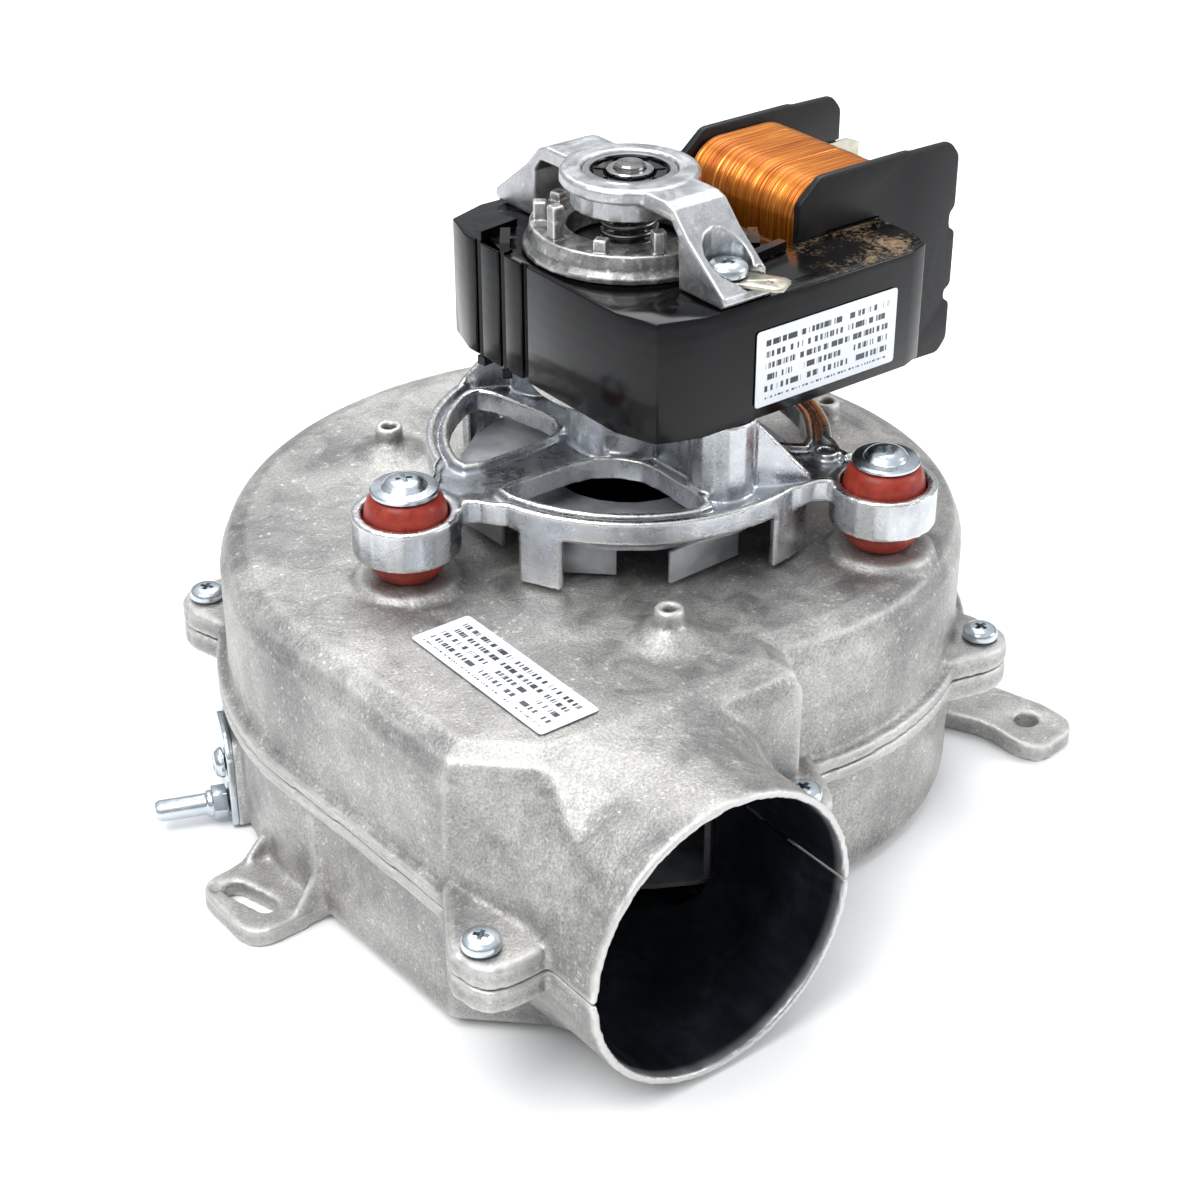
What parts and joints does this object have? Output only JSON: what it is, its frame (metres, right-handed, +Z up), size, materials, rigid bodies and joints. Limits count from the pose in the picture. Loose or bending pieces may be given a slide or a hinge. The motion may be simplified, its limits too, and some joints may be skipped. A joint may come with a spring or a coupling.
{
  "type": "combustion fan",
  "caption": "Die-cast scroll fan with a round outlet and a shaded-pole motor hung on silicone grommets, the shaft turning in ball bearings.",
  "frame": {"origin": "centre of the footprint at the underside of the casing", "axes": "+Z up along the motor shaft; the round outlet points along -Y; the coil stands towards +X"},
  "size_m": [0.1862, 0.1796, 0.1364],
  "materials": {
    "die_cast_casing": "as-cast, sand-like texture",
    "die_cast_bracket": "die-cast, smoother, edges polished bright",
    "zinc_plated_steel": "bright zinc plate",
    "plain_steel": "turned or drawn steel",
    "silicone_rubber": "brick-red silicone",
    "bearing_steel": "ground and polished",
    "bearing_cage": "black crown cage with steel balls",
    "black_lacquered_stack": "satin black lacquer over laminations",
    "bare_laminations": "stacked electrical steel",
    "cast_rotor_ring": "as-cast with a turned rim",
    "black_nylon": "moulded",
    "enamelled_copper": "enamelled copper wire",
    "tinned_brass": "tinned and dull",
    "stamped_aluminium": "stamped sheet",
    "label_paper": "blank printed film"
  },
  "bodies": {
    "housing": {"tap_plate": "zinc_plated_steel", "tap_nipple": "zinc_plated_steel", "tap_screw": "zinc_plated_steel", "lower_casing": "die_cast_casing", "upper_casing": "die_cast_casing", "casing_screw_1": "zinc_plated_steel", "casing_screw_2": "zinc_plated_steel", "casing_screw_3": "zinc_plated_steel", "casing_screw_4": "zinc_plated_steel", "casing_screw_5": "zinc_plated_steel", "casing_label": "label_paper", "motor_bracket": "die_cast_bracket", "grommet_1": "silicone_rubber", "grommet_sleeve_1": "plain_steel", "grommet_screw_1": "zinc_plated_steel", "grommet_2": "silicone_rubber", "grommet_sleeve_2": "plain_steel", "grommet_screw_2": "zinc_plated_steel", "grommet_3": "silicone_rubber", "grommet_sleeve_3": "plain_steel", "grommet_screw_3": "zinc_plated_steel", "stator_frame": "black_lacquered_stack", "coil_leg": "bare_laminations", "bobbin": "black_nylon", "winding": "enamelled_copper", "terminal_1": "tinned_brass", "terminal_2": "tinned_brass", "shading_ring_back_1": "black_lacquered_stack", "shading_ring_front_1": "black_lacquered_stack", "shading_ring_back_2": "black_lacquered_stack", "shading_ring_front_2": "black_lacquered_stack", "bearing_bridge": "die_cast_bracket", "earth_tab": "tinned_brass", "bridge_screw_front": "zinc_plated_steel", "bridge_screw_back": "zinc_plated_steel", "motor_label": "label_paper", "lower_bearing_outer_ring": "bearing_steel", "upper_bearing_outer_ring": "bearing_steel"},
    "rotor": {"shaft": "plain_steel", "lower_bearing_inner_ring": "bearing_steel", "upper_bearing_inner_ring": "bearing_steel", "rotor_core": "bare_laminations", "rotor_top_end_ring": "cast_rotor_ring", "rotor_bottom_end_ring": "cast_rotor_ring", "preload_spring": "plain_steel", "cooling_wheel": "stamped_aluminium", "cooling_wheel_clip": "plain_steel", "impeller_back_plate": "stamped_aluminium", "impeller_blade_ring": "stamped_aluminium", "impeller_hub": "plain_steel", "impeller_nut": "zinc_plated_steel", "impeller_washer": "zinc_plated_steel"},
    "lower_balls": {"lower_bearing_balls": "bearing_cage"},
    "upper_balls": {"upper_bearing_balls": "bearing_cage"}
  },
  "joints": [
    {"name": "rotor_spin", "type": "hinge", "parent": "housing", "child": "rotor", "pos_m": [0.01145, 0.00645, 0.1065], "axis": [0, 0, 1], "continuous": true},
    {"name": "lower_balls_spin", "type": "hinge", "parent": "housing", "child": "lower_balls", "pos_m": [0.01145, 0.00645, 0.085], "axis": [0, 0, 1], "continuous": true},
    {"name": "upper_balls_spin", "type": "hinge", "parent": "housing", "child": "upper_balls", "pos_m": [0.01145, 0.00645, 0.1323], "axis": [0, 0, 1], "continuous": true}
  ],
  "couplings": [
    {"joint": "lower_balls_spin", "follows": "rotor_spin", "ratio": 0.36},
    {"joint": "upper_balls_spin", "follows": "rotor_spin", "ratio": 0.36}
  ]
}
